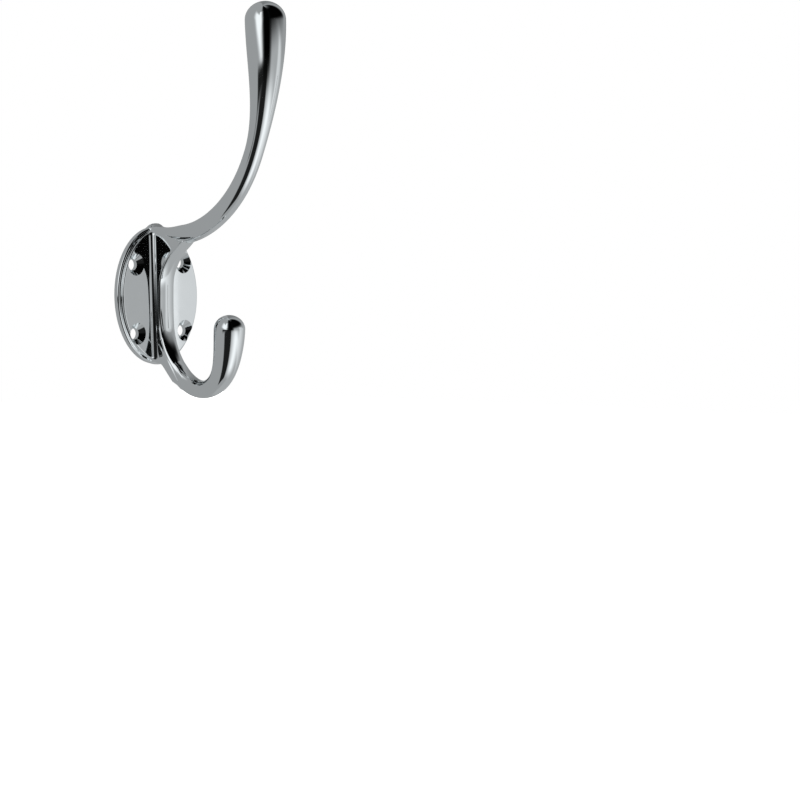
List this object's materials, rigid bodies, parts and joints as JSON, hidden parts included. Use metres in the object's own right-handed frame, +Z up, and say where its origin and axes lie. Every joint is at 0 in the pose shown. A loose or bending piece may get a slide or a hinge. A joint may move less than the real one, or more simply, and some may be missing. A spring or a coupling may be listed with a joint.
{
  "type": "hat and coat hook",
  "caption": "Wall-mounted cast hat and coat hook: stepped oval back plate, long upper hat arm and short J-shaped coat arm, both with rounded knobs.",
  "frame": {"origin": "centre of the oval back plate's back face, on the wall", "axes": "+Y into the wall, so the hook stands out towards -Y; +Z up along the hook's height; +X to the right of someone facing the wall"},
  "size_m": [0.0434, 0.0697, 0.1494],
  "materials": {
    "chrome": "polished chrome plate on a metal casting"
  },
  "bodies": {
    "root": {"hook": "chrome"}
  },
  "joints": []
}
